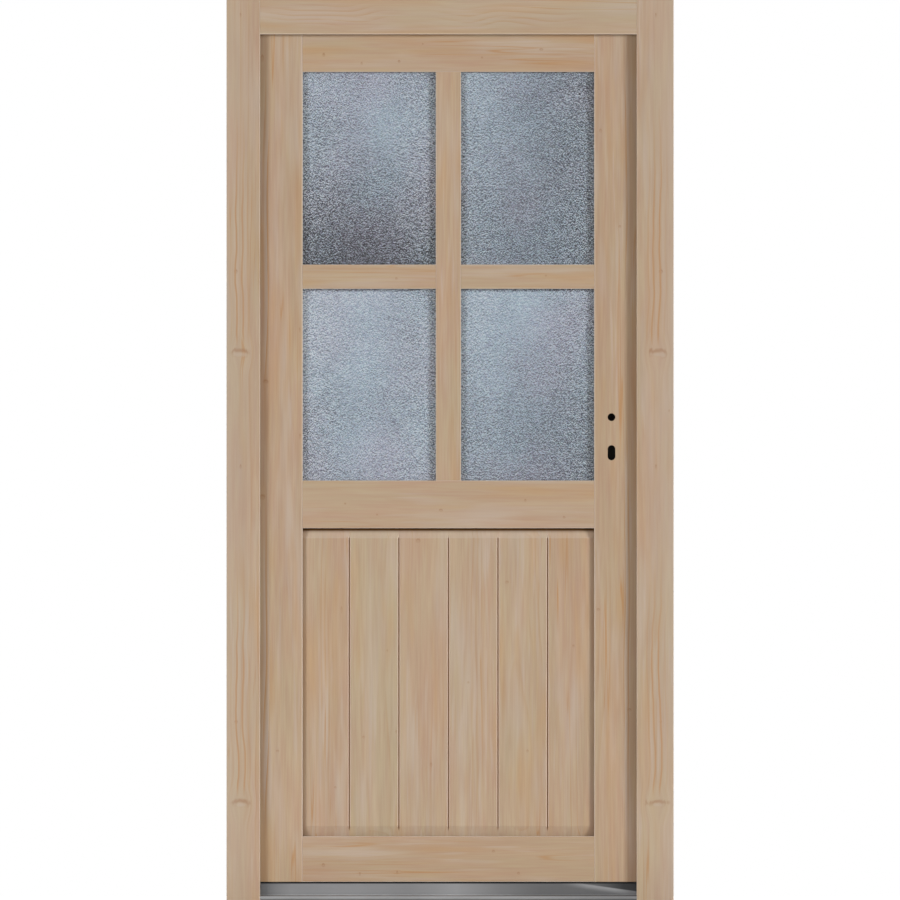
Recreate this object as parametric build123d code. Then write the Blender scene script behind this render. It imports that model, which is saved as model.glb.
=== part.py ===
"""Timber side door: an inward-opening leaf with four panes over a boarded panel, hung in its frame.

Millimetres. X runs from the hinge jamb's wall face to the lock jamb, Y from the outside to the
inside with zero at the middle of the frame's depth, and Z runs up from the floor.
"""
import os

from build123d import *

# Frame: two jambs, a head between them, and a stop that the leaf closes against
FRAME_WIDTH = 980.0
FRAME_HEIGHT = 1980.0
FRAME_DEPTH = 68.0
HINGE_JAMB_FACE = 73.5
LOCK_JAMB_FACE = 81.0
HEAD_FACE = 79.0
STOP_DEPTH = 17.0
STOP_HEIGHT = 17.5

# Leaf: stiles run through, rails sit between them, and a lap covers the inside of the frame
LEAF_THICKNESS = 68.0
STILE_WIDTH = 103.0
TOP_RAIL_WIDTH = 92.0
GLAZING_HEIGHT = 896.0
LOCK_RAIL_WIDTH = 104.5
BOTTOM_RAIL_WIDTH = 99.8
BAR_WIDTH = 55.0
CROSS_BAR_WIDTH = 53.0
CROSS_BAR_DROP = 1.0
LAP_WIDTH = 20.0
SKIRT_DROP = 22.0
EASED_EDGE = 1.6

# Running gaps between the leaf and the frame
SEAL_GAP = 5.0
LAP_GAP = 5.0
EDGE_GAP = 7.5
FLOOR_GAP = 3.5

# Glazing: the lip in front of the glass, the rebate behind it and the sealed units
LIP_DEPTH = 15.0
GLAZING_REBATE = 16.0
GLASS_CLEARANCE = 3.0
PANE_THICKNESS = 4.0
PANE_CAVITY = 16.0
SPACER_INSET = 3.0
SPACER_WIDTH = 8.0
BEAD_BEVEL_WIDTH = 7.0
BEAD_BEVEL_DEPTH = 14.0

# Boarded panel: tongued boards with V joints, their ends bevelled into the rails
BOARD_COUNT = 6
BOARD_PITCH = 108.7
PANEL_SETBACK = 10.0
PANEL_CLEARANCE = 3.0
FIELD_CLEARANCE = 0.5
END_BEVEL = 22.0
END_BEVEL_DEPTH = 9.0
END_QUIRK = 1.5
SHADOW_GAP = 3.0
SHADOW_GAP_DEPTH = 14.0
V_HALF_WIDTH = 1.7
V_DEPTH = 4.5
V_EASE = 1.1
TONGUE_THICKNESS = 6.0
TONGUE_LENGTH = 7.0
TONGUE_CLEARANCE = 0.4

# Aluminium threshold: rounded toe, weathering, upstand under the leaf
TOE_SETBACK = 1.0
TOE_HEIGHT = 14.0
TOE_RADIUS = 5.0
SILL_BASE_HEIGHT = 14.5
SILL_HEIGHT = 39.7
UPSTAND_THICKNESS = 22.0
RISER_LEAN = 2.0
SILL_WALL = 2.5
SILL_CROWN = 8.0
SILL_EDGE_RADIUS = 1.5

# Rubber seals: a tongue in a saw kerf and a soft head that fills the gap
KERF_WIDTH = 3.0
KERF_DEPTH = 6.0
KERF_INSET = 4.0
SEAL_HEAD_WIDTH = 9.0
SEAL_PLAY = 0.2
SEAL_SHY = 0.4
SEAL_ROUND = 2.0

# Drip groove under the bottom rail
DRIP_WIDTH = 5.0
DRIP_DEPTH = 4.0
DRIP_INSET = 9.0

# Drill-in hinges
LOWER_HINGE_RISE = 216.0
UPPER_HINGE_DROP = 211.0
KNUCKLE_RADIUS = 9.0
KNUCKLE_LENGTH = 45.0
KNUCKLE_GAP = 1.0
KNUCKLE_WASHER_GAP = 0.5
PIN_RADIUS = 5.0
PIN_CLEARANCE = 0.08
CAP_HEIGHT = 3.0
CAP_ROUND = 1.4
CAP_GAP = 0.3
STUD_RADIUS = 4.0
STUD_SPACING = 24.0
STUD_DEPTH = 32.0
STUD_CLEARANCE = 0.1

# Mortise lock: case in a pocket, faceplate on the leaf's edge, strike plate on the lock jamb
BACKSET = 65.0
SPINDLE_HEIGHT = 1062.0
SPINDLE_HOLE_RADIUS = 8.5
CYLINDER_SPACING = 70.0
CYLINDER_SLOT_WIDTH = 17.0
CYLINDER_SLOT_HEIGHT = 33.0
CASE_DEPTH = 78.0
CASE_THICKNESS = 15.0
CASE_RISE = 48.0
CASE_FALL = 48.0
CASE_CLEARANCE = 0.5
FOLLOWER_SQUARE = 8.0
SOCKET_DEPTH = 5.0
PLATE_THICKNESS = 3.0
FACEPLATE_WIDTH = 20.0
FACEPLATE_HEIGHT = 235.0
STRIKE_WIDTH = 24.0
STRIKE_HEIGHT = 210.0
BOLT_WIDTH = 12.0
BOLT_HEIGHT = 34.0
BOLT_CLEARANCE = 0.2
BOLT_POCKET_DEPTH = 16.0
LATCH_RISE = 20.0
DEAD_BOLT_RISE = 14.0

# Planes across the depth, from the outside to the inside
outside = -FRAME_DEPTH / 2
inside = FRAME_DEPTH / 2
stop_back = outside + STOP_DEPTH
leaf_front = stop_back + SEAL_GAP
leaf_back = leaf_front + LEAF_THICKNESS
lap_front = inside + LAP_GAP
glass_front = leaf_front + LIP_DEPTH
cavity_front = glass_front + PANE_THICKNESS
cavity_back = cavity_front + PANE_CAVITY
bead_front = cavity_back + PANE_THICKNESS
panel_front = leaf_front + PANEL_SETBACK
upstand_back = leaf_front + UPSTAND_THICKNESS
skirt_front = upstand_back + SEAL_GAP

# Frame opening as seen from outside, and the rebate behind the stop
opening_left = HINGE_JAMB_FACE
opening_right = FRAME_WIDTH - LOCK_JAMB_FACE
opening_top = FRAME_HEIGHT - HEAD_FACE
rebate_left = opening_left - STOP_HEIGHT
rebate_right = opening_right + STOP_HEIGHT
rebate_top = opening_top + STOP_HEIGHT

# Leaf edges, the lap outside them, and the skirt that hangs behind the threshold
leaf_left = rebate_left + EDGE_GAP
leaf_right = rebate_right - EDGE_GAP
leaf_top = rebate_top - EDGE_GAP
leaf_bottom = SILL_HEIGHT + FLOOR_GAP
lap_left = leaf_left - LAP_WIDTH
lap_right = leaf_right + LAP_WIDTH
lap_top = leaf_top + LAP_WIDTH
skirt_bottom = leaf_bottom - SKIRT_DROP

# Field between the stiles and the levels of the rails, at the lip that shows from outside
field_left = leaf_left + STILE_WIDTH
field_right = leaf_right - STILE_WIDTH
field_middle = (field_left + field_right) / 2
glass_top = leaf_top - TOP_RAIL_WIDTH
glass_bottom = glass_top - GLAZING_HEIGHT
cross_bar_middle = (glass_top + glass_bottom) / 2 - CROSS_BAR_DROP
panel_top = glass_bottom - LOCK_RAIL_WIDTH
panel_bottom = leaf_bottom + BOTTOM_RAIL_WIDTH
bar_left = field_middle - BAR_WIDTH / 2
bar_right = field_middle + BAR_WIDTH / 2
bar_top = cross_bar_middle + CROSS_BAR_WIDTH / 2
bar_bottom = cross_bar_middle - CROSS_BAR_WIDTH / 2

# Hinge axis, beside the lap and clear of the frame's inside face
hinge_x = lap_left - KNUCKLE_GAP - KNUCKLE_RADIUS
hinge_y = (lap_front + leaf_back) / 2
hinge_heights = {
    "lower": leaf_bottom + LOWER_HINGE_RISE,
    "middle": (leaf_bottom + leaf_top) / 2,
    "upper": leaf_top - UPPER_HINGE_DROP,
}

# Lock centre lines
lock_y = (leaf_front + lap_front) / 2
spindle_x = leaf_right - BACKSET
cylinder_z = SPINDLE_HEIGHT - CYLINDER_SPACING
slot_middle_z = cylinder_z + CYLINDER_SLOT_WIDTH / 2 - CYLINDER_SLOT_HEIGHT / 2
lock_middle_z = (SPINDLE_HEIGHT + cylinder_z) / 2
case_front_x = leaf_right - PLATE_THICKNESS
case_back_x = case_front_x - CASE_DEPTH
case_bottom_z = cylinder_z - CASE_FALL
case_top_z = SPINDLE_HEIGHT + CASE_RISE
latch_z = SPINDLE_HEIGHT + LATCH_RISE
dead_bolt_z = cylinder_z + DEAD_BOLT_RISE


def block(x_span, y_span, z_span):
    """A box between two values along each axis."""
    spans = (x_span, y_span, z_span)
    middle = [(low + high) / 2 for low, high in spans]
    size = [high - low for low, high in spans]
    return Pos(*middle) * Box(*size)


def outline(corners, eased=(), radius=EASED_EDGE):
    """A closed face through the corners, with the eased corners rounded."""
    face = make_face(Polyline(*corners, close=True))
    if not eased:
        return face
    rounded = [v for v in face.vertices() if any((Vector(v) - Vector(*c)).length < 1e-6 for c in eased)]
    return fillet(rounded, radius)


def upright(face, low, high):
    """A face drawn in X and Y, carried up from low to high."""
    return extrude(Plane.XY.offset(low) * face, amount=high - low)


def crosspiece(face, left, right):
    """A face drawn in Y and Z, carried across from left to right."""
    return extrude(Plane.YZ.offset(left) * face, amount=right - left)


def rod(start, direction, radius, length):
    """A round bar from a start point along a direction."""
    return extrude(Plane(origin=start, z_dir=direction) * Circle(radius), amount=length)


# Frame

def kerf_span(rebate, toward):
    """The two sides of a seal's kerf in the stop, counted from the rebate's corner."""
    near = rebate + toward * KERF_INSET
    return near, near + toward * KERF_WIDTH


def jamb(wall, toward, face_width):
    """A jamb with its stop and seal kerf; toward is the way from the wall to the opening."""
    edge = wall + toward * face_width
    rebate = edge - toward * STOP_HEIGHT
    near, far = kerf_span(rebate, toward)
    corners = [
        (wall, outside), (edge, outside), (edge, stop_back),
        (far, stop_back), (far, stop_back - KERF_DEPTH), (near, stop_back - KERF_DEPTH), (near, stop_back),
        (rebate, stop_back), (rebate, inside), (wall, inside),
    ]
    eased = [(wall, outside), (edge, outside), (edge, stop_back), (rebate, inside), (wall, inside)]
    return upright(outline(corners, eased), 0, FRAME_HEIGHT)


def stud_heights(knuckle_low):
    """The levels of a knuckle's two studs."""
    middle = knuckle_low + KNUCKLE_LENGTH / 2
    return middle - STUD_SPACING / 2, middle + STUD_SPACING / 2


def stud_hole(mouth, direction):
    """The hole that a hinge stud is screwed into."""
    return rod(mouth, direction, STUD_RADIUS + STUD_CLEARANCE, STUD_DEPTH + STUD_CLEARANCE)


def frame_knuckle_low(height):
    """The lower end of a hinge's frame half, under the joint between its halves."""
    return height - KNUCKLE_WASHER_GAP / 2 - KNUCKLE_LENGTH


def leaf_knuckle_low(height):
    """The lower end of a hinge's leaf half, over the joint between its halves."""
    return height + KNUCKLE_WASHER_GAP / 2


def hinge_jamb():
    timber = jamb(0, 1, HINGE_JAMB_FACE)
    for height in hinge_heights.values():
        for z in stud_heights(frame_knuckle_low(height)):
            timber -= stud_hole((hinge_x, inside, z), (0, -1, 0))
    return timber


def bolt_window(z, x_span, play=0.0):
    """The room that a bolt takes in a plate, a pocket or a case."""
    half_width = BOLT_WIDTH / 2 - play
    half_height = BOLT_HEIGHT / 2 - play
    return block(x_span, (lock_y - half_width, lock_y + half_width), (z - half_height, z + half_height))


def strike_blank():
    return block(
        (rebate_right, rebate_right + PLATE_THICKNESS),
        (lock_y - STRIKE_WIDTH / 2, lock_y + STRIKE_WIDTH / 2),
        (lock_middle_z - STRIKE_HEIGHT / 2, lock_middle_z + STRIKE_HEIGHT / 2),
    )


def lock_jamb():
    timber = jamb(FRAME_WIDTH, -1, LOCK_JAMB_FACE) - strike_blank()
    for z in (latch_z, dead_bolt_z):
        timber -= bolt_window(z, (rebate_right, rebate_right + BOLT_POCKET_DEPTH))
    return timber


def frame_head():
    near, far = kerf_span(rebate_top, -1)
    corners = [
        (outside, FRAME_HEIGHT), (outside, opening_top), (stop_back, opening_top),
        (stop_back, far), (stop_back - KERF_DEPTH, far), (stop_back - KERF_DEPTH, near), (stop_back, near),
        (stop_back, rebate_top), (inside, rebate_top), (inside, FRAME_HEIGHT),
    ]
    eased = [(outside, FRAME_HEIGHT), (outside, opening_top), (stop_back, opening_top),
             (inside, rebate_top), (inside, FRAME_HEIGHT)]
    timber = crosspiece(outline(corners, eased), rebate_left, rebate_right)
    for span in ((rebate_left, opening_left), (opening_right, rebate_right)):
        timber -= block(span, (outside, stop_back), (opening_top, FRAME_HEIGHT))
    return timber


def seal_outline(near, far, base, along_x, gap=SEAL_GAP):
    """A seal's section: tongue in the kerf between near and far, head standing off the base plane."""
    low, high = sorted((near, far))
    middle = (low + high) / 2
    tongue_half = (high - low) / 2 - SEAL_PLAY
    head_half = SEAL_HEAD_WIDTH / 2
    tip = base + gap - SEAL_SHY
    root = base - KERF_DEPTH + SEAL_PLAY
    profile = [
        (middle - tongue_half, root), (middle + tongue_half, root), (middle + tongue_half, base),
        (middle + head_half, base), (middle + head_half, tip), (middle - head_half, tip),
        (middle - head_half, base), (middle - tongue_half, base),
    ]
    corners = profile if along_x else [(depth, across) for across, depth in profile]
    eased = [corners[4], corners[5]]
    return outline(corners, eased, SEAL_ROUND)


def jamb_seal(rebate, toward):
    near, far = kerf_span(rebate, toward)
    return upright(seal_outline(near, far, stop_back, True), SILL_HEIGHT, rebate_top)


def seal_inner_edge(rebate, toward):
    """Where a jamb seal's head ends on the side of the opening."""
    near, far = kerf_span(rebate, toward)
    return (near + far) / 2 + toward * SEAL_HEAD_WIDTH / 2


def head_seal():
    near, far = kerf_span(rebate_top, -1)
    left = seal_inner_edge(rebate_left, 1)
    right = seal_inner_edge(rebate_right, -1)
    strip = crosspiece(seal_outline(near, far, stop_back, False), left, right)
    for span in ((left, opening_left), (opening_right, right)):
        strip -= block(span, (outside, stop_back), (opening_top, rebate_top))
    return strip


# Threshold

def threshold_slot():
    """The slot along the crown that the threshold's seal is pushed into."""
    middle = (leaf_front + upstand_back) / 2
    return (middle - KERF_WIDTH / 2, middle + KERF_WIDTH / 2)


def chamber(walls, top):
    """A hollow of the threshold's section between two wall planes, up to a level."""
    near = walls[0] + SILL_WALL
    far = walls[1] - SILL_WALL
    return outline([(near, SILL_WALL), (far, SILL_WALL), (far, top), (near, top)])


def threshold():
    toe = outside + TOE_SETBACK
    riser_foot = leaf_front - RISER_LEAN
    slot_low, slot_high = threshold_slot()
    corners = [
        (toe, 0), (toe, TOE_HEIGHT), (riser_foot, SILL_BASE_HEIGHT), (leaf_front, SILL_HEIGHT),
        (slot_low, SILL_HEIGHT), (slot_low, SILL_HEIGHT - KERF_DEPTH),
        (slot_high, SILL_HEIGHT - KERF_DEPTH), (slot_high, SILL_HEIGHT),
        (upstand_back, SILL_HEIGHT), (upstand_back, SILL_BASE_HEIGHT),
        (inside, SILL_BASE_HEIGHT), (inside, 0),
    ]
    profile = outline(corners, [corners[1]], TOE_RADIUS)
    crown = [v for v in profile.vertices() if abs(v.Y - SILL_HEIGHT) < 1e-6]
    shoulders = [v for v in crown if not slot_low <= v.X <= slot_high]
    profile = fillet(shoulders, SILL_EDGE_RADIUS)
    profile -= chamber((leaf_front, upstand_back), SILL_HEIGHT - SILL_CROWN)
    profile -= chamber((upstand_back, inside), SILL_BASE_HEIGHT - SILL_WALL)
    bar = crosspiece(profile, rebate_left, rebate_right)
    for span in ((rebate_left, opening_left), (opening_right, rebate_right)):
        bar -= block(span, (outside, stop_back), (0, SILL_HEIGHT))
    return bar


def threshold_seal():
    near, far = threshold_slot()
    profile = seal_outline(near, far, SILL_HEIGHT, True, FLOOR_GAP)
    return crosspiece(profile, rebate_left, rebate_right)


# Leaf timbers

def stile(edge, toward):
    """A stile with its lap and glazing rebate; toward is the way from its outer edge to the field."""
    lip = edge + toward * STILE_WIDTH
    rebate = lip - toward * GLAZING_REBATE
    lap = edge - toward * LAP_WIDTH
    corners = [
        (edge, leaf_front), (lip, leaf_front), (lip, glass_front), (rebate, glass_front),
        (rebate, leaf_back), (lap, leaf_back), (lap, lap_front), (edge, lap_front),
    ]
    eased = [(edge, leaf_front), (lip, leaf_front), (lap, leaf_back), (lap, lap_front)]
    timber = upright(outline(corners, eased), skirt_bottom, lap_top)
    across = tuple(sorted((lap, lip)))
    timber -= block(across, (leaf_front, lap_front), (leaf_top, lap_top))
    timber -= block(across, (leaf_front, skirt_front), (skirt_bottom, leaf_bottom))
    return timber


def hinge_stile():
    timber = stile(leaf_left, 1)
    for height in hinge_heights.values():
        for z in stud_heights(leaf_knuckle_low(height)):
            timber -= stud_hole((lap_left, hinge_y, z), (1, 0, 0))
    return timber


def spindle_hole(y_span):
    return rod((spindle_x, y_span[0], SPINDLE_HEIGHT), (0, 1, 0), SPINDLE_HOLE_RADIUS, y_span[1] - y_span[0])


def cylinder_slot(y_span):
    """The upright slot, round at both ends, that takes a profile cylinder."""
    shape = SlotOverall(CYLINDER_SLOT_HEIGHT, CYLINDER_SLOT_WIDTH, rotation=90)
    plane = Plane(origin=(spindle_x, y_span[0], slot_middle_z), x_dir=(1, 0, 0), z_dir=(0, 1, 0))
    return extrude(plane * shape, amount=y_span[1] - y_span[0])


def faceplate_blank():
    return block(
        (case_front_x, leaf_right),
        (lock_y - FACEPLATE_WIDTH / 2, lock_y + FACEPLATE_WIDTH / 2),
        (lock_middle_z - FACEPLATE_HEIGHT / 2, lock_middle_z + FACEPLATE_HEIGHT / 2),
    )


def lock_stile():
    half_pocket = CASE_THICKNESS / 2 + CASE_CLEARANCE
    pocket = block(
        (case_back_x - CASE_CLEARANCE, case_front_x),
        (lock_y - half_pocket, lock_y + half_pocket),
        (case_bottom_z - CASE_CLEARANCE, case_top_z + CASE_CLEARANCE),
    )
    through = (leaf_front, leaf_back)
    blank = stile(leaf_right, -1) - pocket - faceplate_blank()
    return blank - spindle_hole(through) - cylinder_slot(through)


def rail(corners, eased):
    """A rail between the stiles: its back reaches into their rebates, its lip stops at theirs."""
    timber = crosspiece(outline(corners, eased), field_left - GLAZING_REBATE, field_right + GLAZING_REBATE)
    levels = [z for _, z in corners]
    for span in ((field_left - GLAZING_REBATE, field_left), (field_right, field_right + GLAZING_REBATE)):
        timber -= block(span, (leaf_front, glass_front), (min(levels), max(levels)))
    return timber


def top_rail():
    back = glass_top + GLAZING_REBATE
    corners = [
        (leaf_front, leaf_top), (leaf_front, glass_top), (glass_front, glass_top), (glass_front, back),
        (leaf_back, back), (leaf_back, lap_top), (lap_front, lap_top), (lap_front, leaf_top),
    ]
    return rail(corners, [corners[0], corners[1], corners[5], corners[6]])


def lock_rail():
    back_top = glass_bottom - GLAZING_REBATE
    back_bottom = panel_top + GLAZING_REBATE
    corners = [
        (leaf_front, glass_bottom), (glass_front, glass_bottom), (glass_front, back_top),
        (leaf_back, back_top), (leaf_back, back_bottom),
        (glass_front, back_bottom), (glass_front, panel_top), (leaf_front, panel_top),
    ]
    return rail(corners, [corners[0], corners[7]])


def bottom_rail():
    back_top = panel_bottom - GLAZING_REBATE
    drip_near = leaf_front + DRIP_INSET
    drip_far = drip_near + DRIP_WIDTH
    drip_top = leaf_bottom + DRIP_DEPTH
    corners = [
        (leaf_front, panel_bottom), (glass_front, panel_bottom), (glass_front, back_top),
        (leaf_back, back_top), (leaf_back, skirt_bottom),
        (skirt_front, skirt_bottom), (skirt_front, leaf_bottom),
        (drip_far, leaf_bottom), (drip_far, drip_top), (drip_near, drip_top), (drip_near, leaf_bottom),
        (leaf_front, leaf_bottom),
    ]
    return rail(corners, [corners[0], corners[4], corners[11]])


def bar_outline(middle, width, along_x):
    """A glazing bar's section: a broad lip outside and a narrow web behind it."""
    lip = width / 2
    web = lip - GLAZING_REBATE
    profile = [
        (middle - lip, leaf_front), (middle + lip, leaf_front), (middle + lip, glass_front),
        (middle + web, glass_front), (middle + web, leaf_back), (middle - web, leaf_back),
        (middle - web, glass_front), (middle - lip, glass_front),
    ]
    corners = profile if along_x else [(depth, across) for across, depth in profile]
    return outline(corners, corners[:2])


def upright_glazing_bar():
    section = bar_outline(field_middle, BAR_WIDTH, True)
    bar = upright(section, glass_bottom - GLAZING_REBATE, glass_top + GLAZING_REBATE)
    for span in ((glass_bottom - GLAZING_REBATE, glass_bottom), (glass_top, glass_top + GLAZING_REBATE)):
        bar -= block((bar_left, bar_right), (leaf_front, glass_front), span)
    return bar


def cross_glazing_bar(lip_left, lip_right):
    section = bar_outline(cross_bar_middle, CROSS_BAR_WIDTH, False)
    bar = crosspiece(section, lip_left - GLAZING_REBATE, lip_right + GLAZING_REBATE)
    for span in ((lip_left - GLAZING_REBATE, lip_left), (lip_right, lip_right + GLAZING_REBATE)):
        bar -= block(span, (leaf_front, glass_front), (bar_bottom, bar_top))
    return bar


# Glazing

PANE_OPENINGS = {
    "upper_left": ((field_left, bar_left), (bar_top, glass_top)),
    "upper_right": ((bar_right, field_right), (bar_top, glass_top)),
    "lower_left": ((field_left, bar_left), (glass_bottom, bar_bottom)),
    "lower_right": ((bar_right, field_right), (glass_bottom, bar_bottom)),
}
PANEL_OPENING = ((field_left, field_right), (panel_bottom, panel_top))


def widened(opening, margin):
    """An opening's spans, grown by a margin on every side."""
    return tuple((low - margin, high + margin) for low, high in opening)


def pane(opening, front):
    x_span, z_span = widened(opening, GLAZING_REBATE - GLASS_CLEARANCE)
    return block(x_span, (front, front + PANE_THICKNESS), z_span)


def spacer(opening):
    """The metal frame that holds a unit's two sheets apart."""
    reach = GLAZING_REBATE - GLASS_CLEARANCE - SPACER_INSET
    depth = (cavity_front, cavity_back)
    outer_x, outer_z = widened(opening, reach)
    inner_x, inner_z = widened(opening, reach - SPACER_WIDTH)
    return block(outer_x, depth, outer_z) - block(inner_x, depth, inner_z)


def beads(opening):
    """The four mitred beads round an opening: two uprights and two crosspieces."""
    (left, right), (low, high) = opening
    (far_left, far_right), (far_low, far_high) = widened(opening, GLAZING_REBATE)
    shapes = {
        "left": [(left, low), (left, high), (far_left, far_high), (far_left, far_low)],
        "right": [(right, low), (right, high), (far_right, far_high), (far_right, far_low)],
        "bottom": [(left, low), (right, low), (far_right, far_low), (far_left, far_low)],
        "top": [(left, high), (right, high), (far_right, far_high), (far_left, far_high)],
    }
    made = {}
    for side, corners in shapes.items():
        plane = Plane(origin=(0, bead_front, 0), x_dir=(1, 0, 0), z_dir=(0, -1, 0))
        bead = extrude(plane * make_face(Polyline(*corners, close=True)), amount=bead_front - leaf_back)
        start, end = (Vector(x, leaf_back, z) for x, z in corners[:2])
        arris = bead.edges().sort_by_distance((start + end) / 2)[0]
        face = bead.faces().sort_by(Axis.Y)[-1]
        made[side] = chamfer(arris, BEAD_BEVEL_WIDTH, BEAD_BEVEL_DEPTH, reference=face)
    return made


def all_beads(sides):
    found = []
    for opening in (*PANE_OPENINGS.values(), PANEL_OPENING):
        made = beads(opening)
        found += [made[side] for side in sides]
    return Compound(children=found)


# Panel

def end_cutter(visible_edge, toward, gap=0.0, depth=END_BEVEL_DEPTH):
    """What the bevel and the quirk behind it take off the boards' ends; toward is the way into the panel.

    With a gap the bevel stops short of the rail, and the quirk shows as a dark line.
    """
    end = visible_edge - toward * GLAZING_REBATE
    seat = visible_edge - toward * END_QUIRK
    shoulder = visible_edge + toward * END_BEVEL
    stop = visible_edge + toward * gap
    quirk_back = panel_front + depth
    corners = [
        (leaf_front, end), (glass_front, end), (glass_front, seat), (quirk_back, seat), (quirk_back, stop),
        (panel_front + END_BEVEL_DEPTH, stop), (panel_front, shoulder), (leaf_front, shoulder),
    ]
    if depth == END_BEVEL_DEPTH:
        corners.pop(5)
    return crosspiece(outline(corners), field_left - GLAZING_REBATE, field_right + GLAZING_REBATE)


def v_joint(edge, toward, face, inward):
    """A board's bevelled edge from the bottom of the V to the face; toward is the way into the board."""
    return [
        (edge, face + inward * V_DEPTH), (edge + toward * V_HALF_WIDTH, face + inward * V_EASE),
        (edge + toward * (V_HALF_WIDTH + V_EASE), face),
    ]


def panel_board(number):
    """A board of the panel, counted from the hinge side, starting at 0."""
    left = field_middle + (number - BOARD_COUNT / 2) * BOARD_PITCH
    right = left + BOARD_PITCH
    middle = (panel_front + bead_front) / 2
    groove_half = TONGUE_THICKNESS / 2 + TONGUE_CLEARANCE / 2
    tongue_half = TONGUE_THICKNESS / 2
    if number == 0:
        rim = field_left - GLAZING_REBATE + PANEL_CLEARANCE
        shoulder = field_left + FIELD_CLEARANCE
        left_side = [(rim, bead_front), (rim, glass_front), (shoulder, glass_front), (shoulder, panel_front)]
    else:
        groove = left + TONGUE_LENGTH + TONGUE_CLEARANCE
        left_side = [
            *reversed(v_joint(left, 1, bead_front, -1)),
            (left, middle + groove_half), (groove, middle + groove_half),
            (groove, middle - groove_half), (left, middle - groove_half),
            *v_joint(left, 1, panel_front, 1),
        ]
    if number == BOARD_COUNT - 1:
        rim = field_right + GLAZING_REBATE - PANEL_CLEARANCE
        shoulder = field_right - FIELD_CLEARANCE
        right_side = [
            (shoulder, panel_front), (shoulder, glass_front), (rim, glass_front), (rim, bead_front),
        ]
    else:
        tongue = right + TONGUE_LENGTH
        right_side = [
            *reversed(v_joint(right, -1, panel_front, 1)),
            (right, middle - tongue_half), (tongue, middle - tongue_half),
            (tongue, middle + tongue_half), (right, middle + tongue_half),
            *v_joint(right, -1, bead_front, -1),
        ]
    reach = GLAZING_REBATE - PANEL_CLEARANCE
    board = upright(outline(left_side + right_side), panel_bottom - reach, panel_top + reach)
    return board - end_cutter(panel_bottom, 1) - end_cutter(panel_top, -1, SHADOW_GAP, SHADOW_GAP_DEPTH)


# Lock

def lock_case():
    half = CASE_THICKNESS / 2
    case = block((case_back_x, case_front_x), (lock_y - half, lock_y + half), (case_bottom_z, case_top_z))
    square = FOLLOWER_SQUARE / 2
    x_span = (spindle_x - square, spindle_x + square)
    z_span = (SPINDLE_HEIGHT - square, SPINDLE_HEIGHT + square)
    for side in (-1, 1):
        y_span = tuple(sorted((lock_y + side * half, lock_y + side * (half - SOCKET_DEPTH))))
        case -= block(x_span, y_span, z_span)
    return case


def lock_faceplate():
    plate = faceplate_blank()
    for z in (latch_z, dead_bolt_z):
        plate -= bolt_window(z, (case_front_x, leaf_right))
    return plate


def bolt(z):
    """A bolt drawn back level with the faceplate."""
    return bolt_window(z, (case_front_x, leaf_right), BOLT_CLEARANCE)


def strike_plate():
    plate = strike_blank()
    for z in (latch_z, dead_bolt_z):
        plate -= bolt_window(z, (rebate_right, rebate_right + PLATE_THICKNESS))
    return plate


# Hinges

def knuckle(low, stud_direction, stud_length):
    """A hinge half: a bored knuckle with two studs that screw into the timber."""
    half = rod((hinge_x, hinge_y, low), (0, 0, 1), KNUCKLE_RADIUS, KNUCKLE_LENGTH)
    for z in stud_heights(low):
        half += rod((hinge_x, hinge_y, z), stud_direction, STUD_RADIUS, stud_length)
    return half - rod((hinge_x, hinge_y, low), (0, 0, 1), PIN_RADIUS + PIN_CLEARANCE, KNUCKLE_LENGTH)


def hinge_frame_half(height):
    return knuckle(frame_knuckle_low(height), (0, -1, 0), hinge_y - inside + STUD_DEPTH)


def hinge_leaf_half(height):
    return knuckle(leaf_knuckle_low(height), (1, 0, 0), lap_left - hinge_x + STUD_DEPTH)


def hinge_pin(height):
    """The pin with its two rounded caps, drawn as half a section and turned about the axis."""
    low = frame_knuckle_low(height)
    high = leaf_knuckle_low(height) + KNUCKLE_LENGTH + CAP_GAP
    corners = [
        (0, low - CAP_HEIGHT), (KNUCKLE_RADIUS, low - CAP_HEIGHT), (KNUCKLE_RADIUS, low),
        (PIN_RADIUS, low), (PIN_RADIUS, high),
        (KNUCKLE_RADIUS, high), (KNUCKLE_RADIUS, high + CAP_HEIGHT), (0, high + CAP_HEIGHT),
    ]
    half = outline(corners, [corners[1], corners[6]], CAP_ROUND)
    return Pos(hinge_x, hinge_y, 0) * revolve(Plane.XZ * half, Axis.Z)


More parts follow.
